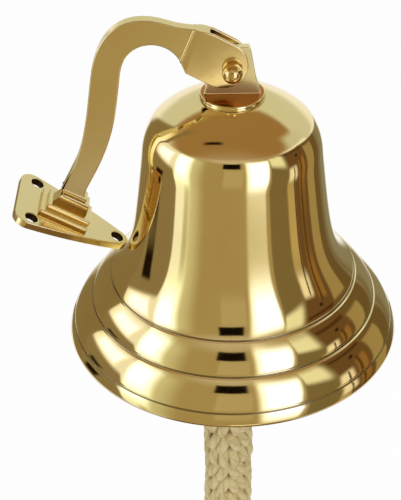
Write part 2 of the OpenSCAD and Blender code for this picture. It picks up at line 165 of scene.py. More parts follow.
floor_sheet = bpy.data.meshes.new("floor")
corners = [(-1, -1), (1, -1), (1, 1), (-1, 1)]
floor_sheet.from_pydata([(x * FLOOR_HALF, y * FLOOR_HALF, FLOOR_Z) for x, y in corners], [],
                        [(0, 1, 2, 3)])
floor_sheet.materials.append(floor_paper)
floor = bpy.data.objects.new("floor", floor_sheet)
bpy.context.scene.collection.objects.link(floor)
print("floor height:", FLOOR_Z)

# %% [markdown]
# ## Cards
#
# A studio gives a mirror its dark and light shapes with cards and curtains that stand round it.
# Here they are patches of a sphere round the bell, given by their angles as seen from the bell,
# and a few level ones above and below. Only mirrors see them, so they neither light the cotton
# nor show behind the bell. Their edges fade, as those of cloth and of lit walls do. A picture of a
# room wrapped round the scene would be quicker, but cards can be cut and moved one at a time.

# %% Card helpers
HUB = np.array([0.1026, 0.0, 0.0])


def on_sphere(turn, rise, reach):
    """A point round the hub: (sin t cos e, -cos t cos e, sin e) times its distance.

    t is the turn from the camera's side towards +X, and e the rise, both in degrees.
    """
    t, e = np.radians(turn), np.radians(rise)
    away = np.stack([np.sin(t) * np.cos(e), -np.cos(t) * np.cos(e), np.sin(e)], -1)
    return HUB + reach * away


def only_in_mirrors(obj):
    """Leaves an object out of every ray but the glossy ones."""
    obj.visible_camera = obj.visible_diffuse = obj.visible_shadow = False
    obj.visible_transmission = obj.visible_volume_scatter = False


def soft_edges(value, fade_low, fade_high):
    """1 over the middle of 0..1, falling to 0 at each end: 3 t^2 - 2 t^3 of a ramp."""
    t = np.clip(np.minimum(value / fade_low, (1 - value) / fade_high), 0, 1)
    return t * t * (3 - 2 * t)


def card_paper(name, code, strength):
    """Glowing paper that is clear where the attribute "card" is 0."""
    paper, tree, output = new_material(name + "_paper")
    glow = add(tree, "ShaderNodeEmission", {"Color": linear(code), "Strength": strength})
    there = add(tree, "ShaderNodeAttribute", attribute_name="card")
    clear = add(tree, "ShaderNodeBsdfTransparent")
    blend = add(tree, "ShaderNodeMixShader",
                links={0: there.outputs["Fac"], 1: clear.outputs[0], 2: glow.outputs[0]})
    tree.links.new(blend.outputs[0], output.inputs["Surface"])
    return paper


def card(name, corners, reach, code, strength=1.0, soft=(0.04, 0.04, 0.04, 0.04), level=False):
    """A card between four corners: low left, low right, high right, high left.

    A corner is (turn, rise) in degrees, with reach the distance from the hub. A level card's
    corners are (x, y) in metres, with reach its height. The points between them are a blend of
    the corners, first along, then up. soft says how much of its size each edge fades over.
    """
    n, m = 49, 33
    u, v = np.meshgrid(np.linspace(0, 1, n), np.linspace(0, 1, m), indexing="ij")
    c, s, t = np.array(corners, float)[:, None, None, :], u[..., None], v[..., None]
    at = (c[0] * (1 - s) + c[1] * s) * (1 - t) + (c[3] * (1 - s) + c[2] * s) * t
    if level:
        points = np.concatenate([at, np.full((n, m, 1), reach)], -1)
    else:
        points = on_sphere(at[..., 0], at[..., 1], reach)
    k = np.arange(n - 1)[:, None] * m + np.arange(m - 1)
    faces = np.stack([k, k + 1, k + m + 1, k + m], -1).reshape(-1, 4)
    mesh = bpy.data.meshes.new(name)
    mesh.from_pydata(points.reshape(-1, 3).tolist(), [], faces.tolist())
    shown = soft_edges(u, *soft[:2]) * soft_edges(v, *soft[2:])
    mesh.attributes.new("card", "FLOAT", "POINT").data.foreach_set("value", shown.ravel())
    mesh.materials.append(card_paper(name, code, strength))
    obj = bpy.data.objects.new(name, mesh)
    bpy.context.scene.collection.objects.link(obj)
    only_in_mirrors(obj)


print("hub of the cards in metres:", HUB.tolist())

# %% Behind, overhead and in front
# The pale backdrop's upper part, and the ceiling, level at 1.3 m, with its lamp rail.
card("backdrop_top", [(116, 2), (244, 2), (244, 57), (116, 57)], 2.6, "#DADCD0",
     soft=(0.02, 0.02, 0.25, 0.1))
card("brown_ceiling", [(-2.2, -1.7), (2.2, -1.7), (2.2, 0.85), (-2.2, 1.3)], 1.3, "#A07E52",
     soft=(0.22, 0.22, 0.52, 0.1), level=True)
card("lamp_rail", [(-0.594, -0.161), (-0.048, -0.283), (-0.026, -0.185), (-0.572, -0.063)], 1.29,
     "#140B06", soft=(0.3, 0.3, 0.3, 0.3), level=True)
# The room's tan wall with a door, a curtain, and the camera's dark hood before them.
card("tan_wall", [(-60, -36), (72, -36), (72, 61), (-60, 61)], 0.99, "#AD9B72",
     soft=(0.01, 0.01, 0.01, 0.26))
card("pale_door", [(-14, -12), (12, -12), (14, 36), (-12, 36)], 0.97, "#BBAC88",
     soft=(0.1, 0.1, 0.3, 0.3))
card("cream_curtain", [(-53, -32), (-31, -32), (-33, 46), (-55, 46)], 0.96, "#D6D3B3",
     soft=(0.02, 0.85, 0.02, 0.2))
card("camera_hood", [(-15, 27), (11, 27), (11, 41.5), (-15, 41.5)], 0.83, "#120A05",
     soft=(0.08, 0.12, 0.12, 0.16))
# Two big soft boxes: a cream cloth with a brighter, cooler core before it.
card("left_softbox_cloth", [(-70, -27), (-47, -27), (-51, 44), (-79, 42)], 0.93, "#F4FFF0", 1.42,
     (0.03, 0.3, 0.3, 0.16))
card("left_softbox_core", [(-72, -16), (-50, -16), (-52, 40), (-79, 38)], 0.92, "#C4CEFF", 2.9,
     (0.2, 0.5, 0.5, 0.24))
card("right_softbox_cloth", [(13, -27), (37, -27), (51, 41), (13, 54)], 0.93, "#FBFCEC", 1.42,
     (0.2, 0.08, 0.3, 0.2))
card("right_softbox_core", [(15, -20), (40, -20), (50, 38), (15, 49)], 0.92, "#C4CEFF", 2.9,
     (0.3, 0.16, 0.4, 0.24))
print("cards behind, overhead and in front are up")

# %% To the right: a curtain, a brown room with a bright corner, a door and two walls
card("grey_curtain", [(40, -34), (71, -34), (71, 38), (50, 38)], 0.965, "#80714E",
     soft=(0.03, 0.03, 0.02, 0.03))
card("curtain_top", [(48, 16), (70, 1), (70, 42), (50, 44)], 0.955, "#EEF0DA", 1.1,
     (0.04, 0.32, 0.32, 0.35))
card("brown_room", [(70, -34), (99, -34), (99, 30), (70, 39)], 0.95, "#6E5234",
     soft=(0.02, 0.02, 0.02, 0.04))
card("dark_beam", [(70, 27), (99, 15), (99, 20), (70, 32)], 0.945, "#50361C",
     soft=(0.1, 0.1, 0.3, 0.3))
card("dark_knob", [(83, 12), (88, 12), (88, 17), (83, 17)], 0.91, "#2A1A0E",
     soft=(0.3, 0.3, 0.3, 0.3))
card("cream_boards", [(64, -34), (79, -34), (79, -8), (66, -8)], 0.94, "#C4AE7C",
     soft=(0.2, 0.1, 0.1, 0.5))
card("bright_corner", [(66, -18), (84, -18), (83, 6), (69, 8)], 0.92, "#F6EEDC", 1.1,
     (0.25, 0.3, 0.3, 0.3))
card("dark_posts", [(76, -34), (78.5, -34), (78.5, 4), (76, 4)], 0.915, "#4A3418",
     soft=(0.3, 0.3, 0.05, 0.1))
card("dark_posts_2", [(86.5, -34), (90, -34), (90, 12), (86.5, 12)], 0.915, "#5A4020",
     soft=(0.3, 0.3, 0.05, 0.1))
card("orange_curtain", [(84, -24), (96, -24), (96, 10), (84, 10)], 0.93, "#97713E",
     soft=(0.2, 0.2, 0.2, 0.2))
card("tan_door", [(99, -34), (116, -34), (116, 8), (99, 17)], 0.95, "#A59265",
     soft=(0.12, 0.12, 0.02, 0.08))
card("dark_wall", [(97, -36), (140, -36), (138, 0), (97, 34)], 0.96, "#6E5A38",
     soft=(0.03, 0.3, 0.02, 0.1))
card("grey_wall", [(128, -36), (162, -36), (160, -12), (128, 8)], 0.97, "#8F8870",
     soft=(0.1, 0.3, 0.02, 0.15))
card("high_window", [(84, 40), (124, 22), (134, 30), (98, 58)], 1.25, "#DDE0D0", 0.9,
     (0.35, 0.35, 0.35, 0.4))
print("cards to the right are up")

# %% To the left and below: a window over its sill, a round lens, a wall, and a bench with paper
card("left_window_sill", [(-113, -34), (-66, -34), (-77, 6), (-113, 6)], 0.97, "#90805F",
     soft=(0.03, 0.02, 0.02, 0.2))
card("left_window", [(-110, 1), (-82, 1), (-80.5, 31), (-109, 20)], 0.95, "#FFF6DC", 1.25,
     (0.12, 0.03, 0.16, 0.2))
card("left_window_core", [(-109, 2), (-83, 2), (-81, 30), (-108, 19)], 0.94, "#CCD4FF", 2.2,
     (0.3, 0.08, 0.3, 0.3))
card("round_lens", [(-111, -27), (-96, -26), (-87, -9), (-102, -10)], 0.91, "#1E1208",
     soft=(0.2, 0.2, 0.25, 0.25))
card("left_side_wall", [(-166, -36), (-112, -36), (-106, 66), (-152, 2)], 0.98, "#8B7A54",
     soft=(0.25, 0.02, 0.02, 0.08))
card("brown_bench", [(-0.42, -0.78), (0.58, -0.78), (0.58, 0.32), (-0.42, 0.32)], -0.46,
     "#7A5C36", soft=(0.12, 0.12, 0.08, 0.08), level=True)
card("paper_on_bench", [(0.075, -0.57), (0.24, -0.57), (0.24, -0.43), (0.075, -0.43)], -0.20,
     "#FFF8E0", 1.9, (0.1, 0.1, 0.2, 0.1), level=True)
print("cards:", sum("card" in mesh.attributes for mesh in bpy.data.meshes))

# %% [markdown]
# ## Lamps
#
# The cards are only what the mirrors see. The light that falls on the cotton and on the floor
# comes from three soft lamps, left, right and overhead. Mirrors don't see the lamps themselves,
# because their cards already stand for them.

# %% Lamps
def lamp_at(name, turn, rise, reach, size, power):
    """A rectangular soft lamp on the sphere, turned to the bell: size in metres, power in watts."""
    lamp = bpy.data.lights.new(name, "AREA")
    lamp.shape, lamp.size, lamp.size_y, lamp.energy = "RECTANGLE", *size, power
    obj = bpy.data.objects.new(name, lamp)
    bpy.context.scene.collection.objects.link(obj)
    look(obj, on_sphere(turn, rise, reach), HUB)
    obj.visible_camera = obj.visible_glossy = False
    print(name, power, "W")


lamp_at("left_softbox", -67, 12, 1.3, (0.6, 1.2), 3.2)
lamp_at("right_softbox", 32, 16, 1.3, (0.8, 1.2), 4.5)
lamp_at("top_softbox", -20, 66, 1.5, (1.2, 0.9), 5.0)

# %% [markdown]
# ## Polished brass
#
# Ship's brass is a yellow casting alloy, about two parts copper to one of zinc. Its colour lies
# wholly in its reflections, so it is a metal with a pale yellow base: two reflections, one after
# the other, square that colour, which gives the deep gold where brass mirrors brass. Buffing leaves
# a faint waviness and hairline scratches, and each groove gets a dark brown of painted shade. The
# waves are 9 mm long, the scratches 0.7 mm wide: finer ones wouldn't show. With one even colour
# and gloss it would look like foil, so noise moves both a little.

# %% Brass
CLOUDS, SCRATCHES, WAVES = 34 * MM, 0.7 * MM, 9 * MM
# The dark brown of the shade painted into the bell's grooves, on its lip and inside.
SHADE_BROWN = "#2C1908"


def brass(name, polish, wave, tint="#F4E4AE", deep="#EDD79C", shade_mark=None):
    """Brass of one finish, its colour drifting between tint and deep in clouds.

    polish is its roughness, which the scratches vary by -20 to +30%, and wave the height of its
    waviness in millimetres. The last argument names an attribute that marks painted shade: there
    the colour goes to dark brown by mark ** 1.2, and 0.3 of the mark is added to the roughness.
    """
    material, tree, output = new_material(name)
    place = add(tree, "ShaderNodeTexCoord").outputs["Object"]
    cloud = add(tree, "ShaderNodeTexNoise", {"Scale": 1 / CLOUDS, "Detail": 3.0},
                {"Vector": place})
    colour = add(tree, "ShaderNodeMix", {6: linear(tint), 7: linear(deep)},
                 {0: cloud.outputs["Fac"]}, data_type="RGBA").outputs[2]
    fine = add(tree, "ShaderNodeTexNoise", {"Scale": 1 / SCRATCHES, "Detail": 2.0},
               {"Vector": place})
    rough = add(tree, "ShaderNodeMapRange", {"To Min": polish * 0.8, "To Max": polish * 1.3},
                {"Value": fine.outputs["Fac"]}).outputs[0]
    # Painted shade where the attribute marks it: dark brown, and a duller gloss.
    if shade_mark:
        mark = add(tree, "ShaderNodeAttribute", attribute_name=shade_mark).outputs["Fac"]
        share = add(tree, "ShaderNodeMath", {1: 1.2}, {0: mark}, operation="POWER")
        colour = add(tree, "ShaderNodeMix", {7: linear(SHADE_BROWN)},
                     {0: share.outputs[0], 6: colour}, data_type="RGBA").outputs[2]
        rough = add(tree, "ShaderNodeMath", {1: 0.3}, {0: mark, 2: rough},
                    operation="MULTIPLY_ADD").outputs[0]
    slow = add(tree, "ShaderNodeTexNoise", {"Scale": 1 / WAVES, "Detail": 1.0}, {"Vector": place})
    swirl = add(tree, "ShaderNodeBump", {"Strength": 1.0, "Distance": wave * MM},
                {"Height": slow.outputs["Fac"]})
    shader = add(tree, "ShaderNodeBsdfPrincipled", {"Metallic": 1.0},
                 {"Base Color": colour, "Roughness": rough, "Normal": swirl.outputs[0]})
    tree.links.new(shader.outputs[0], output.inputs["Surface"])
    print(name, "roughness about", polish)
    return material


# The bell, off the lathe and the buffing wheel: the sharpest mirror, with shade painted into its grooves and
# inside.
mirror_brass = brass("mirror_buffed_turned_brass", 0.06, 0.012, shade_mark="shade_mark")
# The plate and the arm, filed and buffed over the sand's skin: softer and wavier.
cast_brass = brass("buffed_cast_brass", 0.15, 0.04)
# The lug's flats, only filed: a wide sheen, and a paler tint that is painted light.
lug_brass = brass("filed_brass_painted_light", 0.34, 0.012, tint="#FFF6C8", deep="#FBF0B4")
# The top of the flange, in the lug's shade: a deep orange that is painted shade and painted reflection of the
# brass round it.
shaded_brass = brass("flange_brass_painted_shade", 0.12, 0.012, tint="#D08C3E", deep="#A86420")
# The pin, nut, rod and ball, turned and brushed over: a little darker than the bell.
pin_brass = brass("turned_pin_brass", 0.16, 0.01, tint="#EAD294", deep="#DDBC74")
# The bores of the screw holes, never polished: dull, and dark with painted shade.
dark_brass = brass("bore_brass_painted_shade", 0.5, 0.05, tint="#4A3416", deep="#34220E")
# The fittings inside the bell, as the lathe left them.
bore_brass = brass("machined_brass_fitting", 0.22, 0.02, tint="#E2CB8C", deep="#CDAE68")

# %% [markdown]
# ## Zinc-plated steel
#
# The two screws from behind the plate into the arm are steel, plated with zinc: a grey metal with
# a slight blue cast. The plating is a fine crystal skin, so its gloss varies from spot to spot and
# its colour doesn't. A noise of 0.8 mm on the roughness is enough for that.

# %% Steel
PLATING_GRAIN = 0.8 * MM
steel, tree, output = new_material("zinc_plated_steel_screw")
place = add(tree, "ShaderNodeTexCoord").outputs["Object"]
fine = add(tree, "ShaderNodeTexNoise", {"Scale": 1 / PLATING_GRAIN, "Detail": 2.0},
           {"Vector": place})
rough = add(tree, "ShaderNodeMapRange", {"To Min": 0.25, "To Max": 0.45},
            {"Value": fine.outputs["Fac"]})
shader = add(tree, "ShaderNodeBsdfPrincipled",
             {"Metallic": 1.0, "Base Color": linear("#C9CBCC")}, {"Roughness": rough.outputs[0]})
tree.links.new(shader.outputs[0], output.inputs["Surface"])
print("steel:", steel.name)

# %% [markdown]
# ## Cotton
#
# The lanyard is soft cotton cord: cream, matt and a little fuzzy, each cord laid up from three
# plies. The plies run round the cord as a long screw, so the pattern is |sin| of the distance along
# the cord plus the angle round it, both from the UV map. It sets the colour of the shallow valleys
# and a low bump. Real plies as mesh would cost three times the faces and look the same. A noise of
# 0.8 mm stands for the yarn's fibres, and one of 14 mm for the marks of handling.

# %% Cotton
FIBRES, HANDLING = 0.8 * MM, 14 * MM
# The brown of the painted shade where a cord dives under.
TUCKED_SHADE_BROWN = "#7C5828"


def cotton(name, light, shade, plies=3, lay_mm=12.0, deep=0.5):
    """Laid cotton cord, coloured from shade in the valleys to light on the plies.

    The height is |sin pi (plies v + plies u / lay)| ** 0.22 plus the fibres' noise, and deep is
    its depth in millimetres. Where an attribute says that a cord dives under, painted shade turns
    the colour brown.
    """
    material, tree, output = new_material(name)
    uv = add(tree, "ShaderNodeUVMap", uv_map="along_and_round")
    split = add(tree, "ShaderNodeSeparateXYZ", links={0: uv.outputs[0]})
    run = add(tree, "ShaderNodeMath", {1: plies / (lay_mm * MM)}, {0: split.outputs[0]},
              operation="MULTIPLY")
    turn = add(tree, "ShaderNodeMath", {1: float(plies)}, {0: split.outputs[1], 2: run.outputs[0]},
               operation="MULTIPLY_ADD")
    wave = add(tree, "ShaderNodeMath", {1: math.pi}, {0: turn.outputs[0]}, operation="MULTIPLY")
    wave = add(tree, "ShaderNodeMath", links={0: wave.outputs[0]}, operation="SINE")
    ply = add(tree, "ShaderNodeMath", links={0: wave.outputs[0]}, operation="ABSOLUTE")
    ply = add(tree, "ShaderNodeMath", {1: 0.22}, {0: ply.outputs[0]}, operation="POWER")
    place = add(tree, "ShaderNodeTexCoord").outputs["Object"]
    fuzz = add(tree, "ShaderNodeTexNoise", {"Scale": 1 / FIBRES, "Detail": 2.0}, {"Vector": place})
    worn = add(tree, "ShaderNodeTexNoise", {"Scale": 1 / HANDLING, "Detail": 2.0},
               {"Vector": place})
    height = add(tree, "ShaderNodeMath", links={0: fuzz.outputs["Fac"], 1: ply.outputs[0]},
                 operation="ADD")
    tone = add(tree, "ShaderNodeMath", {1: 0.5}, {0: worn.outputs["Fac"], 2: height.outputs[0]},
               operation="MULTIPLY_ADD")
    tone = add(tree, "ShaderNodeMapRange", {"From Min": 0.95, "From Max": 1.85},
               {"Value": tone.outputs[0]})
    colour = add(tree, "ShaderNodeMix", {6: linear(shade), 7: linear(light)},
                 {0: tone.outputs[0]}, data_type="RGBA")
    tucked_shade = add(tree, "ShaderNodeAttribute", attribute_name="tucked_shade")
    colour = add(tree, "ShaderNodeMix", {7: linear(TUCKED_SHADE_BROWN)},
                 {0: tucked_shade.outputs["Fac"], 6: colour.outputs[2]}, data_type="RGBA")
    bump = add(tree, "ShaderNodeBump", {"Strength": 0.9, "Distance": deep * MM},
               {"Height": height.outputs[0]})
    shader = add(tree, "ShaderNodeBsdfPrincipled",
                 {"Roughness": 0.92, "Specular IOR Level": 0.15,
                  "Sheen Weight": 0.25, "Sheen Roughness": 0.5},
                 {"Base Color": colour.outputs[2], "Normal": bump.outputs[0]})
    tree.links.new(shader.outputs[0], output.inputs["Surface"])
    print(name, "plies:", plies, "lay in mm:", lay_mm)
    return material


# The braid's, the eye's and the knot's cord: soft and cream, with a long lay.
cord_cotton = cotton("laid_cotton_cord", "#E6D5A0", "#C0A468", plies=3, lay_mm=24.0, deep=0.2)
# The whipping: a thin waxed twine of two plies, a little greyer.
twine_cotton = cotton("waxed_cotton_twine", "#DDD0A2", "#A48C58", plies=2, lay_mm=3.0, deep=0.2)
# What shows between the cords: the core, in shade.
core_cotton = cotton("shaded_cotton_core", "#A98448", "#8A6430")

# %% [markdown]
# ## Making meshes from arrays
#
# Every turned or corded piece is a grid of points, worked out as one array, with rows along the
# piece and columns round it. One builder joins such grids into a mesh, closes their ends and
# gives them a UV map: U runs along the piece in metres, V once round it. Screw and Curve tools make
# such pieces too, but here each row also carries a mark, such as how much shade is painted on it.

# %% Array helpers
def unit(v):
    """Vectors along the last axis, each divided by its length."""
    return v / np.maximum(np.linalg.norm(v, axis=-1, keepdims=True), 1e-12)


def lengths(points):
    """Distance run along a row of points, starting at 0."""
    return np.concatenate([[0], np.cumsum(np.linalg.norm(np.diff(points, axis=0), axis=1))])


def ease(t):
    """3 t^2 - 2 t^3 between 0 and 1."""
    t = np.clip(t, 0, 1)
    return t * t * (3 - 2 * t)


print("length of a 3 by 4 step:", lengths(np.array([[0, 0], [3, 4]]))[-1])


# %% Mesh builder
class Shell:
    """Collects grids of points in millimetres and turns them into one mesh in metres."""

    def __init__(self):
        self.points, self.faces, self.uv, self.marks, self.count = [], [], [], [], 0

    def grid(self, points, along, mark=None, closed=False):
        """Adds a grid of rows x columns, closed round its columns.

        Quad (i, j) joins rows i, i + 1 and columns j, j + 1. A closed grid joins its last row to
        its first, and any other gets a cap at each end. along is how far each row lies along the
        piece, and mark one value for each row.
        """
        rows, cols = points.shape[:2]
        span = rows if closed else rows - 1
        i, j = np.meshgrid(np.arange(span), np.arange(cols), indexing="ij")
        a, b = i * cols, (i + 1) % rows * cols
        c, d = j, (j + 1) % cols
        quads = np.stack([a + c, a + d, b + d, b + c], -1).reshape(-1, 4) + self.count
        far = np.append(along, 2 * along[-1] - along[-2]) if closed else along
        u = np.stack([far[i], far[i], far[i + 1], far[i + 1]], -1)
        v = np.stack([j, j + 1, j + 1, j], -1) / cols
        self.faces += quads.tolist()
        self.uv.append(np.stack([u * MM, v], -1).reshape(-1, 2))
        for row in () if closed else (0, rows - 1):
            ring = np.arange(cols)
            self.faces.append((ring + row * cols + self.count).tolist())
            self.uv.append(np.stack([np.full(cols, along[row] * MM), ring / cols], -1))
        self.points.append(points.reshape(-1, 3))
        self.marks.append(np.repeat(np.zeros(rows) if mark is None else mark, cols))
        self.count += rows * cols

    def make(self, name, body, material, slot, nodes=(), mark_name=None):
        """Writes the mesh at the origin, points its faces outwards and fixes it to its body."""
        mesh = bpy.data.meshes.new(name)
        mesh.from_pydata((np.concatenate(self.points) * MM).tolist(), [], self.faces)
        layer = mesh.uv_layers.new(name="along_and_round")
        layer.data.foreach_set("uv", np.concatenate(self.uv).ravel())
        if mark_name:
            data = mesh.attributes.new(mark_name, "FLOAT", "POINT").data
            data.foreach_set("value", np.concatenate(self.marks))
        work = bmesh.new()
        work.from_mesh(mesh)
        bmesh.ops.recalc_face_normals(work, faces=work.faces)
        work.to_mesh(mesh)
        work.free()
        mesh.shade_smooth()
        mesh.materials.append(material)
        obj = bpy.data.objects.new(name, mesh)
        bpy.context.scene.collection.objects.link(obj)
        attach(obj, body)
        if nodes:
            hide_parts(*nodes)
        print(name, "faces:", len(mesh.polygons))
        return obj


trial = Shell()
trial.grid(np.zeros((4, 3, 3)), np.arange(4))
print("faces of a grid of 4 x 3 points, with its two caps:", len(trial.faces))

# %% [markdown]
# ## Where things hang
#
# The joints of the frame say where the hinge pin, the clapper's pivot and the rope's eye are. The
# line between pin and pivot is the bell's axis, which leans by under a degree, because the folded
# bracket rests on the bell. The wall's own direction gives the angle of the fold.

# %% Places
joint = {j["name"]: np.array(j["pos_m"]) / MM for j in frame["joints"]}
PIN, PIVOT, TAIL = joint["bell_swing"], joint["clapper_swing"], joint["lanyard_swing"]
LEAN = math.atan2(PIVOT[0] - PIN[0], PIN[2] - PIVOT[2])
mounts = frame["record"]["mounts"]
FOLD = math.acos(-next(m["axis"] for m in mounts if m["name"] == "wall_face")[0])
BELL_H, FLANGE_T, PIN_RISE = 157.0, 3.0, 15.5
PIN_H = BELL_H + FLANGE_T + PIN_RISE
print("lean:", round(math.degrees(LEAN), 2), "fold:", round(math.degrees(FOLD), 2))


def turned(profile, columns):
    """A profile of [radius, height] carried round Z: x = r cos a, y = r sin a."""
    around = np.linspace(0, 2 * np.pi, columns, endpoint=False)
    r, z = profile[:, :1], profile[:, 1:]
    return np.stack([r * np.cos(around), r * np.sin(around), z + 0 * around], -1)


def hung(points):
    """Points drawn plumb, with height 0 at the lip, tilted about the pin by the bell's lean."""
    x, y, z = points[..., 0], points[..., 1], points[..., 2] - PIN_H
    c, s = math.cos(LEAN), math.sin(LEAN)
    return np.stack([PIN[0] + x * c - z * s, y, PIN[2] + x * s + z * c], -1)


def folded(points):
    """Points (out from the wall X, across Y, up the plate Z), turned about Y by the fold f.

    x = X cos f - Z sin f, z = X sin f + Z cos f.
    """
    x, y, z = points[..., 0], points[..., 1], points[..., 2]
    c, s = math.cos(FOLD), math.sin(FOLD)
    return np.stack([x * c - z * s, y, x * s + z * c], -1)


# %% [markdown]
# ## The bell
#
# A bell is turned on a lathe, so it is one profile carried round an axis. From the lip up: a plain
# band, two swelling rings between V grooves, the waist that flares out to meet them, a round
# shoulder, and the dome of the crown. The inside follows at wall thickness. Points crowd at the
# grooves and the lip, because a mirror shows each corner that is too coarse. A curve drawn by hand
# would do for a matt bell, but only arcs that run on from each other mirror without a kink.

# %% The profile's sizes and curves
# Radii and heights are in millimetres from the axis and the lip. WAIST_R is the waist's radius at
# the height WAIST_R_AT. SHOULDER_TURN and GROOVE_TILT are in degrees above level.
MOUTH_R, LIP_R, LIP_BAND, LIP_TAPER, LIP_SWELL = 100.0, 1.2, 8.0, 2.7, 0.3
RING_H, RING_IN, RING_SWELL, LOW_BELLY, GROOVE_TILT = 16.5, 12.0, 1.3, 0.5, 36.0
WAIST_R, WAIST_R_AT, WAIST_SLOPE, FLARE = 51.6, 125.0, 0.11, 13.2
CROWN_R, SHOULDER_R, SHOULDER_TURN, EDGE_R = 66.0, 36.0, 32.0, 12.0
WALL, LIP_T, SEAT_T, FLANGE_D, SHANK_R = 3.6, 6.8, 4.2, 36.8, 4.2
RING_WALL, SEAT_R = WALL * 1.36, FLANGE_D / 2 + 0.4
g1 = np.array([MOUTH_R - LIP_TAPER, LIP_BAND])
g2 = g1 + [-RING_IN, RING_H]
g3 = g2 + [-RING_IN, RING_H]
print("grooves at radius and height:", g1, g2, g3)


def ray(a):
    """A direction from its angle in degrees: (cos a, sin a)."""
    return np.array([math.cos(math.radians(a)), math.sin(math.radians(a))])


def arc(centre, r, a0, a1, n):
    """Points on a circle: centre + r (cos a, sin a), with a in degrees."""
    a = np.radians(np.linspace(a0, a1, n + 1))
    return np.array(centre) + r * np.stack([np.cos(a), np.sin(a)], -1)


def swell(p, q, s, n, lower=0.0):
    """A line from p to q that bulges outwards by 4 s t (1 - t) (1 + lower (0.5 - t))."""
    p, q = np.array(p), np.array(q)
    t = np.linspace(0, 1, n + 1)[1:-1, None]
    out = unit(np.array([(q - p)[1], -(q - p)[0]]))
    return p + (q - p) * t + out * 4 * s * t * (1 - t) * (1 + lower * (0.5 - t))


# Half a groove, from its rim to its bottom: how far along the side, and how deep, in millimetres.
GROOVE_STEPS = [(0.7, 0.0), (0.45, 0.0), (0.36, 0.03), (0.29, 0.13), (0.1, 0.52), (0.0, 0.6)]


def groove(a, g, b):
    """A V groove at corner g, with small rounded rims on the line to a and the line to b."""
    g = np.array(g)
    to_a, to_b, out = unit(np.array(a) - g), unit(np.array(b) - g), ray(GROOVE_TILT)
    into = [g + to_a * far - out * deep for far, deep in GROOVE_STEPS]
    back = [g + to_b * far - out * deep for far, deep in GROOVE_STEPS[-2::-1]]
    return np.array(into + back)


def waist_line(h):
    """The waist's straight part: it widens evenly on the way down."""
    return WAIST_R + WAIST_SLOPE * (WAIST_R_AT - h)


def flare(h):
    """What the waist adds over the rings: a width that fades as exp(-rise / FLARE)."""
    return (g3[0] - waist_line(g3[1])) * np.exp(-(h - g3[1]) / FLARE)


# %% Where the dome meets the shoulder
# From the seat down: the dome, a tight arc at its edge, then the shoulder's long arc. Each runs on
# from the last. The angle where the dome ends is halved down until the long arc meets the waist.
dome_h = BELL_H - math.sqrt(CROWN_R**2 - SEAT_R**2)
lean_a = math.degrees(math.atan(WAIST_SLOPE))
seat_a = math.degrees(math.acos(SEAT_R / CROWN_R))
low, high = SHOULDER_TURN, seat_a
for step in range(40):
    meet_a = (low + high) / 2
    edge_c = np.array([0, dome_h]) + (CROWN_R - EDGE_R) * ray(meet_a)
    shoulder_c = edge_c + (EDGE_R - SHOULDER_R) * ray(SHOULDER_TURN)
    arc_end = shoulder_c + SHOULDER_R * ray(lean_a)
    low, high = (meet_a, high) if arc_end[0] > waist_line(arc_end[1]) else (low, meet_a)
JOIN_H = arc_end[1]
print("the shoulder joins the waist at height", round(JOIN_H, 2))

# %% The outside, from the lip up to the seat of the flange
# The whole numbers say how many points each stretch gets.
h_out = g3[1] + (JOIN_H - g3[1]) * (np.arange(2, 61) / 60) ** 1.5
above_g3 = [waist_line(g3[1] + 1) + flare(g3[1] + 1), g3[1] + 1]
outside = np.concatenate([
    arc([MOUTH_R - LIP_R, LIP_R], LIP_R, -90, 0, 6),
    swell([MOUTH_R, LIP_R], g1, LIP_SWELL, 8)[:-1],
    groove([MOUTH_R, LIP_R], g1, g2),
    swell(g1, g2, RING_SWELL, 34)[1:-1],
    groove(g1, g2, g3),
    swell(g2, g3, RING_SWELL, 34, LOW_BELLY)[1:-1],
    groove(g2, g3, above_g3),
    np.stack([waist_line(h_out) + flare(h_out), h_out], -1),
    arc(shoulder_c, SHOULDER_R, lean_a, SHOULDER_TURN, 18)[1:],
    arc(edge_c, EDGE_R, SHOULDER_TURN, meet_a, 10)[1:],
    arc([0, dome_h], CROWN_R, meet_a, seat_a, 18)[1:],
])
print("points outside:", len(outside))

# %% The inside, from the shank's hole down to the lip
in_seat = BELL_H - SEAT_T
in_flat = math.sqrt((CROWN_R - WALL) ** 2 - (in_seat - dome_h) ** 2)
flat_a = math.degrees(math.acos(in_flat / (CROWN_R - WALL)))
h_in = np.linspace(JOIN_H - 4, g3[1] + 10, 30)
tilt = WAIST_SLOPE + flare(h_in) / FLARE
inside = np.concatenate([
    [[SEAT_R - 0.2, BELL_H], [SHANK_R, BELL_H], [SHANK_R, in_seat]],
    arc([0, dome_h], CROWN_R - WALL, flat_a, meet_a, 10),
    arc(edge_c, EDGE_R - WALL, meet_a, SHOULDER_TURN, 6)[1:],
    arc(shoulder_c, SHOULDER_R - WALL, SHOULDER_TURN, lean_a, 8)[1:],
    np.stack([waist_line(h_in) + flare(h_in) - WALL * np.sqrt(1 + tilt**2), h_in], -1),
    [g3 - [RING_WALL, 0], g2 - [(LIP_T + RING_WALL) / 2 + 0.4, 0], g1 - [LIP_T + 0.4, 0],
     [MOUTH_R - LIP_T, 0.6], [MOUTH_R - LIP_T + 0.6, 0]],
])
print("points inside:", len(inside))

# %% [markdown]
# ## Painted shade in the grooves
#
# Shade is painted dark brown, with a duller gloss, into each groove, on the lip's very edge and
# all over the inside. One value for each row of the profile says how much: 1 in a groove, falling
# to 0 within 0.75 mm of its corner. The brass reads it as an attribute, so it turns with the bell.

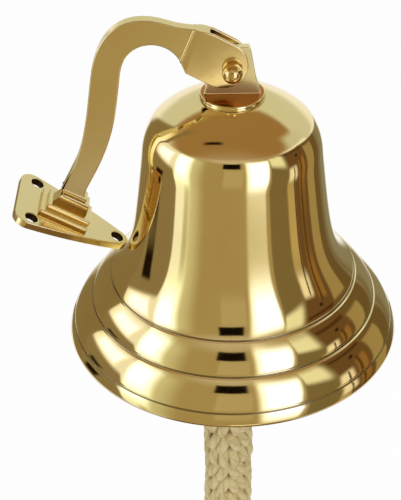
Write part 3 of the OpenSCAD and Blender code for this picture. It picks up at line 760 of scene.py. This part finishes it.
# %% Turn the bell
# Painted shade: the lip's edge and the whole inside get a little of it, each groove all of it.
LIP_ROWS, LIP_SHADE, INSIDE_SHADE = 12, 0.06, 0.2
profile = np.concatenate([outside, inside])
nearest = np.min([np.linalg.norm(profile - g, axis=1) for g in (g1, g2, g3)], axis=0)
shade_mark = np.clip(1.5 - nearest / 0.5, 0, 1)
shade_mark[:LIP_ROWS] = np.maximum(shade_mark[:LIP_ROWS], LIP_SHADE)
shade_mark[len(outside):] = INSIDE_SHADE
bell = Shell()
bell.grid(hung(turned(profile, 320)), lengths(profile), shade_mark, closed=True)
bell.make("bell", "bell", mirror_brass, "bell_brass", ["bell_shell"], "shade_mark")

# %% [markdown]
# ## Cast pieces: plate, arm and hanger
#
# The plate, the arm and the hanger are cast in sand, filed and buffed, so every edge is a little
# round. Their CAD shape is right, so each is a copy of its CAD mesh with its loose triangles merged
# and its flat faces made whole, a Bevel modifier for the buffed edges, and area-weighted normals.
# The blocks of the foot are left out of the copies, because they are made anew below.

# %% Work on a copied mesh
MERGE_WITHIN, FLAT_WITHIN, EDGE_FROM = 0.004 * MM, math.radians(0.6), math.radians(28)


def cut_between(work, low, high):
    """Keeps what lies between two distances out from the wall, and closes the cut.

    Above a low of 0 the cut's edge then goes 1 mm deeper, so it ends inside the foot's block.
    """
    out = Vector((math.cos(FOLD), 0, math.sin(FOLD)))
    lost = [f for f in work.faces
            if not low * MM < f.calc_center_median().dot(out) < high * MM]
    bmesh.ops.delete(work, geom=lost, context="FACES")
    open_edges = [e for e in work.edges if e.is_boundary]
    bmesh.ops.holes_fill(work, edges=open_edges, sides=0)
    if low > 0:
        for vert in {v for e in open_edges if e.is_valid for v in e.verts}:
            vert.co -= out * MM
    bmesh.ops.recalc_face_normals(work, faces=work.faces)


def in_a_bore(face):
    """1 for a face within BORE_R of a screw hole's line, else 0."""
    for point, axis in screw_holes:
        away = face.calc_center_median() - point
        if (away - away.dot(axis) * axis).length < BORE_R * MM:
            return 1
    return 0


def under_the_lug(face):
    """0 for the lug, 1 for the flange and shank below it, 2 for the flange's upturned top, which gets painted
    shade.
    """
    if face.calc_center_median().z >= FLANGE_TOP * MM:
        return 0
    return 2 if face.normal.z > 0.9 else 1


def keep_flat(obj):
    """Weighted normals, so that a large flat face mirrors as a flat one."""
    flat = obj.modifiers.new("flat_faces_stay_flat", "WEIGHTED_NORMAL")
    flat.weight, flat.keep_sharp = 100, False


def buffed_copy(node, name, body, materials, edge, cut=None, choose=None):
    """Copies a CAD node, merges it, makes flat faces whole and rounds its edges by edge mm.

    cut is (low, high) for cut_between, and choose gives the number of a face's material.
    """
    mesh = frame["nodes"][node].data.copy()
    mesh.name = name
    work = bmesh.new()
    work.from_mesh(mesh)
    bmesh.ops.remove_doubles(work, verts=work.verts, dist=MERGE_WITHIN)
    bmesh.ops.dissolve_limit(work, angle_limit=FLAT_WITHIN, verts=work.verts, edges=work.edges)
    if cut:
        cut_between(work, *cut)
    for face in work.faces if choose else ():
        face.material_index = choose(face)
    mesh.materials.clear()
    work.to_mesh(mesh)
    work.free()
    if "custom_normal" in mesh.attributes:
        mesh.attributes.remove(mesh.attributes["custom_normal"])
    mesh.shade_smooth()
    for material in materials:
        mesh.materials.append(material)
    obj = bpy.data.objects.new(name, mesh)
    bpy.context.scene.collection.objects.link(obj)
    bevel = obj.modifiers.new("buffed_edges", "BEVEL")
    bevel.width, bevel.segments, bevel.limit_method = edge * MM, 3, "ANGLE"
    bevel.angle_limit, bevel.use_clamp_overlap, bevel.miter_outer = EDGE_FROM, False, "MITER_ARC"
    keep_flat(obj)
    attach(obj, body)
    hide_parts(node)
    print(name, "faces before the bevel:", len(mesh.polygons))


print("edges are rounded from degrees:", round(math.degrees(EDGE_FROM)))

# %% The copies
PLATE_T, STEP_H, FOOT_X, BEHIND, BEYOND = 4.5, 3.4, 22.0, -9.0, 400.0
BORE_R, FLANGE_TOP = 3.85, PIN[2] - PIN_RISE + 0.3
screw_holes = [(Vector(m["pos_m"]), Vector(m["axis"])) for m in mounts if "hole" in m["name"]]
print("screw holes:", len(screw_holes))
# The screw holes' bores get the dark brass of painted shade.
buffed_copy("wall_plate", "wall_plate_cast", "bracket", [cast_brass, dark_brass],
            0.45, cut=(BEHIND, PLATE_T + 0.01), choose=in_a_bore)
buffed_copy("bracket_arm", "bracket_arm_cast", "bracket", [cast_brass],
            0.7, cut=(FOOT_X + 0.05, BEYOND))
# The lug's paler tint paints light on its flats.
buffed_copy("hanger", "hanger_cast", "bell", [lug_brass, mirror_brass, shaded_brass],
            0.5, choose=under_the_lug)
buffed_copy("crown_nut", "crown_nut_machined", "bell", [bore_brass], 0.3)

# %% [markdown]
# ## The foot's steps
#
# Between the plate and the arm stand two low steps and two blocks, each with round corners that
# a bevel on a CAD mesh can't give evenly. Each is a stack of outlines instead: a rectangle with
# quarter-circle corners, drawn in a little more on each row as its outer edge rounds over.

# %% Blocks with round corners
SIDE_Y, SIDE_Z, CORNER, EDGE_ROWS = [1, -1, -1, 1], [1, 1, -1, -1], 6, 5


def block(shell, x0, x1, low, high, half, r):
    """A block from x0 to x1 out from the wall, with corners and outer edge rounded by r.

    It lies between low and high up the plate and is half wide to each side, each a pair (at x0,
    at x1). Row a is the outline moved in by r (1 - cos a), at x1 - r + r sin a.
    """
    a = np.linspace(0, np.pi / 2, EDGE_ROWS)
    out = np.concatenate([[x0], x1 - r + r * np.sin(a)])
    inset = np.concatenate([[0], r * (1 - np.cos(a))])
    share = (out - x0) / (x1 - x0)
    z0, z1, y1 = (pair[0] + (pair[1] - pair[0]) * share for pair in (low, high, half))
    z0, z1, y1 = z0 + inset, z1 - inset, y1 - inset
    quarter = np.linspace(0, np.pi / 2, CORNER)
    turn = np.concatenate([quarter + k * np.pi / 2 for k in range(4)])
    mid, span = (z0 + z1) / 2, (z1 - z0) / 2
    y = np.repeat(SIDE_Y, CORNER) * (y1[:, None] - r) + r * np.cos(turn)
    z = mid[:, None] + np.repeat(SIDE_Z, CORNER) * (span[:, None] - r) + r * np.sin(turn)
    shell.grid(folded(np.stack([out[:, None] + 0 * y, y, z], -1)), out)


def straight(size):
    """The same size at both ends of a block."""
    return (size, size)


print("points round a block:", 4 * CORNER)

# %% Steps and foot
SUNK, ROUND = 0.6, 0.7
LOW_END, WIDE, NARROW = straight(-15.6), straight(12.0), straight(8.6)
steps = Shell()
block(steps, PLATE_T - SUNK, PLATE_T + STEP_H, LOW_END, straight(14.5), WIDE, ROUND)
block(steps, PLATE_T - SUNK, PLATE_T + 2 * STEP_H, LOW_END, straight(11.5), NARROW, ROUND)
keep_flat(steps.make("plate_steps_cast", "bracket", cast_brass, "bracket_brass", ["wall_plate"]))

SEAT_X, BLOCK_H, FOOT_HALF = PLATE_T + 2 * STEP_H, 7.5, 5.0
foot = Shell()
block(foot, SEAT_X, SEAT_X + BLOCK_H, (-12.3, -11.0), (9.3, 5.6), straight(FOOT_HALF), 0.8)
block(foot, SEAT_X + BLOCK_H - 1, FOOT_X, straight(-8.2), straight(7.4),
      straight(FOOT_HALF - 0.8), ROUND)
keep_flat(foot.make("arm_foot_cast", "bracket", cast_brass, "bracket_brass", ["bracket_arm"]))

# %% [markdown]
# ## Turned fittings
#
# The pin, its nut, the clapper and the washers come off the lathe in simple shapes, and the CAD
# part already has them right. They keep their own meshes, and only take a finish.

# %% Finishes for the CAD pieces
finishes = {"arm_screws": steel, "hinge_pin": pin_brass, "pin_nut": pin_brass,
            "crown_washer": bore_brass, "clapper_eye": bore_brass,
            "clapper_rod": pin_brass, "clapper_ball": pin_brass}
for node, material in finishes.items():
    for slot in frame["nodes"][node].material_slots:
        slot.material = material
    print(node, "has", material.name)

# %% [markdown]
# ## The lanyard's cords
#
# A bell rope is fancy ropework: cotton cords worked round a core, under a whipped eye and above a
# Turk's head knot. Every cord in it is a round tube along a line, so one function makes them all.
# It takes the line as points, and works out at each point a circle square to it.

# %% Cord tubes
AXIS_X = TAIL[0]
AXIS = np.array([AXIS_X, 0.0, 0.0])
EYE_L, BRAID_L, ROPE_R = 28.0, 170.0, 15.8
BRAID_TOP = TAIL[2] - EYE_L
BRAID_FOOT = BRAID_TOP - BRAID_L
ROPE_TOP, ROPE_END = BRAID_TOP + 9, BRAID_FOOT - 12
print("braid from height", BRAID_TOP, "to", BRAID_FOOT)


def cord_tube(shell, path, radius, towards, sides=8, flat=1.0, closed=False, mark=None):
    """A cord round a path: path + radius (flat out cos a + across sin a).

    out is the towards vector squared up to the path, and across is square to both.
    """
    step = np.roll(path, -1, 0) - np.roll(path, 1, 0) if closed else np.gradient(path, axis=0)
    ahead = unit(step)
    out = unit(towards - (towards * ahead).sum(-1, keepdims=True) * ahead)
    across = np.cross(ahead, out)
    a = np.linspace(0, 2 * np.pi, sides, endpoint=False)[:, None]
    ring = flat * out[:, None] * np.cos(a) + across[:, None] * np.sin(a)
    shell.grid(path[:, None] + radius * ring, lengths(path), mark, closed=closed)


def outward(path):
    """The level direction from the lanyard's axis to each point."""
    return unit((path - AXIS) * [1, 1, 0])


def drawn_in(z, top, foot):
    """A share of the rope's full radius: top and foot at its ends, eased to 1 within 9 mm."""
    at_top, at_foot = ease((BRAID_TOP + 3 - z) / 9), ease((z - BRAID_FOOT + 3) / 9)
    return (top + (1 - top) * at_top) * (foot + (1 - foot) * at_foot)


def wander(k, seed):
    """A steady scatter from -1 to 1: twice the fraction of 43.7 sin(12.9 k + 7.3 seed), less 1."""
    value = 43.7 * np.sin(12.9 * k + 7.3 * seed)
    return 2 * (value - np.floor(value)) - 1


# %% [markdown]
# ## The braid
#
# The braid is six chains of looped cord side by side round a core. In a chain, each pair of cords
# rises out of the core, lies on the surface for one stitch and dives back under the next one, and
# the chains beside it do so half a stitch later. That gives the knobbly outline, and real gaps
# that fall into shade. No two stitches of a hand-made braid match, so each one leans, bulges and
# slips a little by a steady scatter. A rope simulation would lie more truly, but this one repeats
# exactly and keeps its place round the core, which closes the gaps from inside.

# %% The braid
COLUMNS, STITCH, CORD_R = 6, 13.0, 3.4
UNDER_R, OVER_R, PAIR_GAP, GAP_R = 7.0, ROPE_R - 2.6, 3.0, 12.0
braid = Shell()
turns = np.arange(-1.2, BRAID_L / STITCH + 1.6, 1 / 20)
for column in range(COLUMNS):
    u = turns + 0.5 * (column % 2)
    p, k = 2 * np.pi * u, np.round(u)
    # proud: 1 where the cord lies on the surface, 0 where it is deepest under the next stitch.
    proud = ((1 + np.cos(p)) / 2) ** 0.9
    z = BRAID_TOP - STITCH * (u + 1.2 * np.sin(p) / (2 * np.pi)) + 1.0 * wander(k, column) * proud
    lean = (0.11 * (1 if column % 2 else -1) + 0.1 * wander(k, column + 80)) * np.sin(p)
    lean = lean + 0.07 * wander(k, column + 20) * proud
    r = UNDER_R + (OVER_R + 1.1 * wander(k, column + 40) - UNDER_R) * proud
    r = r * drawn_in(z, 0.36, 0.5)
    gap = (PAIR_GAP + 0.4 * wander(k, column + 60)) / GAP_R
    keep = (z < BRAID_TOP + 8.6) & (z > BRAID_FOOT - 11.5)
    # How much painted shade darkens each point of the cord, where it dives under the next stitch.
    tucked_shade = np.clip(1.15 - 1.75 * proud[keep], 0, 1)
    for side in (-1, 1):
        angle = 2 * np.pi * column / COLUMNS + lean + side * gap
        path = np.stack([AXIS_X + r * np.cos(angle), r * np.sin(angle), z], -1)[keep]
        cord_tube(braid, path, CORD_R, outward(path), flat=0.95, mark=tucked_shade)
rope = braid.make("lanyard_braid_cords", "lanyard", cord_cotton, "cotton", ["lanyard_braid"],
                  "tucked_shade")

# %% The core
CORE_R, CORE_SIDES = 11.0, 24
core = Shell()
z = np.linspace(ROPE_TOP, ROPE_END, 60)
core_profile = np.stack([CORE_R * drawn_in(z, 0.4, 0.55), z], -1)
core.grid(turned(core_profile, CORE_SIDES) + AXIS, ROPE_TOP - z)
core = core.make("lanyard_core", "lanyard", core_cotton, "cotton")

# %% [markdown]
# ## Whipping and eye
#
# Above the braid the cords are bound together with eight turns of thin waxed twine, which is a
# coil: x = r cos a, y = r sin a, with the height rising evenly. From it stands the eye, one loop
# of cord that hangs on the clapper: a leg up, half a circle and a leg down.

# %% Whipping
WHIP_R, WHIP_TURNS, WHIP_L, TWINE_R = 6.8, 8, 7.6, 0.58
whip = Shell()
a = np.linspace(0, 2 * np.pi * WHIP_TURNS, WHIP_TURNS * 24)
height = BRAID_TOP + 0.7 + WHIP_L * a / a[-1]
coil = np.stack([AXIS_X + WHIP_R * np.cos(a), WHIP_R * np.sin(a), height], -1)
cord_tube(whip, coil, TWINE_R, outward(coil))
whip = whip.make("lanyard_whipping_twine", "lanyard", twine_cotton, "cotton",
                 ["lanyard_whipping"])

# %% Eye
LOOP_R, EYE_CORD_R = 4.5, 2.0
eye_loop = Shell()
a = np.linspace(0, np.pi, 25)
arch = np.stack([AXIS_X + LOOP_R * np.cos(a), 0 * a, TAIL[2] + LOOP_R * np.sin(a)], -1)
leg = np.linspace(BRAID_TOP + 4, TAIL[2], 16)[:-1, None] * [0, 0, 1] + AXIS
path = np.concatenate([leg + [LOOP_R, 0, 0], arch, leg[::-1] - [LOOP_R, 0, 0]])
cord_tube(eye_loop, path, EYE_CORD_R, np.array([0.0, 1.0, 0.0]), sides=12)
eye_loop = eye_loop.make("lanyard_eye_cord", "lanyard", cord_cotton, "cotton", ["lanyard_loop"])

# %% [markdown]
# ## The Turk's head knot
#
# A Turk's head is one cord that runs L times round a ball while it swings B times up and down, and
# passes over and under itself by turns. As a formula that is an azimuth of L t, a latitude of
# 66 cos B t, and a lift of cos(L B t) that changes sides with sin B t. Drawn by hand, each of its
# crossings would have to be set on its own. The cord is doubled, as a sailor follows the first
# round with a second, and a plain heart fills the ball inside it.

# %% The knot
LEADS, BIGHTS, MID_Z = 4, 5, BRAID_FOOT - 18.0
BALL_R, BALL_H, LIFT, STRAND_R, STRAND_APART = 16.9, 13.8, 1.5, 2.3, 2.2
t = np.linspace(0, 2 * np.pi, 560, endpoint=False)
lat, az = np.radians(66) * np.cos(BIGHTS * t), LEADS * t
lift = LIFT * np.cos(LEADS * BIGHTS * t) * np.tanh(3 * np.sin(BIGHTS * t))
normal = np.stack([np.cos(lat) * np.cos(az), np.cos(lat) * np.sin(az), np.sin(lat)], -1)
middle = AXIS + [0, 0, MID_Z] + normal * [BALL_R, BALL_R, BALL_H] + lift[:, None] * normal
across = unit(np.cross(unit(np.roll(middle, -1, 0) - np.roll(middle, 1, 0)), normal))
knot = Shell()
for side in (-1, 1):
    cord_tube(knot, middle + across * side * STRAND_APART, STRAND_R, normal, closed=True)
knot = knot.make("lanyard_knot_cords", "lanyard", cord_cotton, "cotton", ["lanyard_knot"])

# %% The knot's heart
HEART_R, HEART_H = 14.6, 12.4
ball = np.linspace(-np.pi / 2 + 0.05, np.pi / 2 - 0.05, 15)
heart_profile = np.stack([HEART_R * np.cos(ball), MID_Z + HEART_H * np.sin(ball)], -1)
heart = Shell()
heart.grid(turned(heart_profile, 20) + AXIS, 13 * (ball - ball[0]))
heart = heart.make("lanyard_knot_heart", "lanyard", core_cotton, "cotton")

# %% [markdown]
# ## The lanyard's length
#
# The length runs from the top of the core, 9 mm above the braid, down to its end, 12 mm below
# the braid.

print("lanyard length in mm:", ROPE_TOP - ROPE_END)
